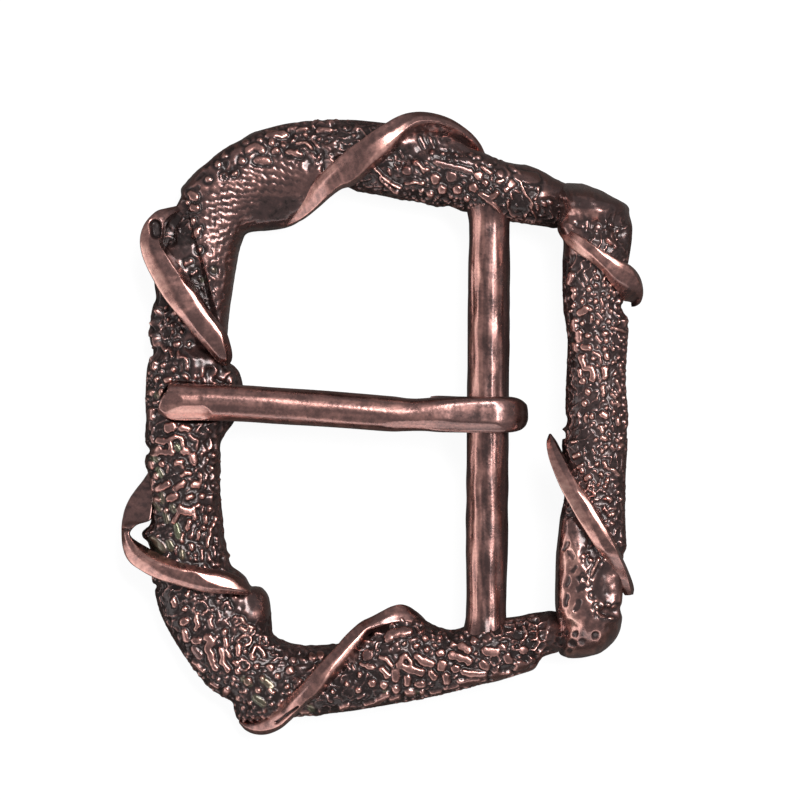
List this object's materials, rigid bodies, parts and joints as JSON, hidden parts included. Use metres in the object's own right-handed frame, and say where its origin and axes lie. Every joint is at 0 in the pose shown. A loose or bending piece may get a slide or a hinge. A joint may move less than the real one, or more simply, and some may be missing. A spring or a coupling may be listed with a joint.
{
  "type": "belt buckle with centre bar and keeper",
  "caption": "Cast belt buckle with an open pebbled rim wound with vines, a centre bar for the strap, a raised keeper bar and a loose prong that rests in a seat in the rim.",
  "frame": {"origin": "under the middle of the buckle's box, on the surface that it lies on", "axes": "+Z out of the decorated face, +Y along the centre bar, +X from the prong's tip towards the keeper bar"},
  "size_m": [0.0523, 0.0622, 0.0102],
  "materials": {
    "cast_copper": "antique copper plate, black in the recesses and rubbed bright on the raised parts",
    "prong_copper": "antique copper plate, rubbed along its length"
  },
  "bodies": {
    "frame": {"frame": "cast_copper"},
    "prong": {"prong": "prong_copper"}
  },
  "joints": [
    {"name": "prong_swing", "type": "hinge", "parent": "frame", "child": "prong", "pos_m": [0.01065, 0.0009, 0.0042], "axis": [0, 1, 0], "range_deg": [0, 110]}
  ]
}
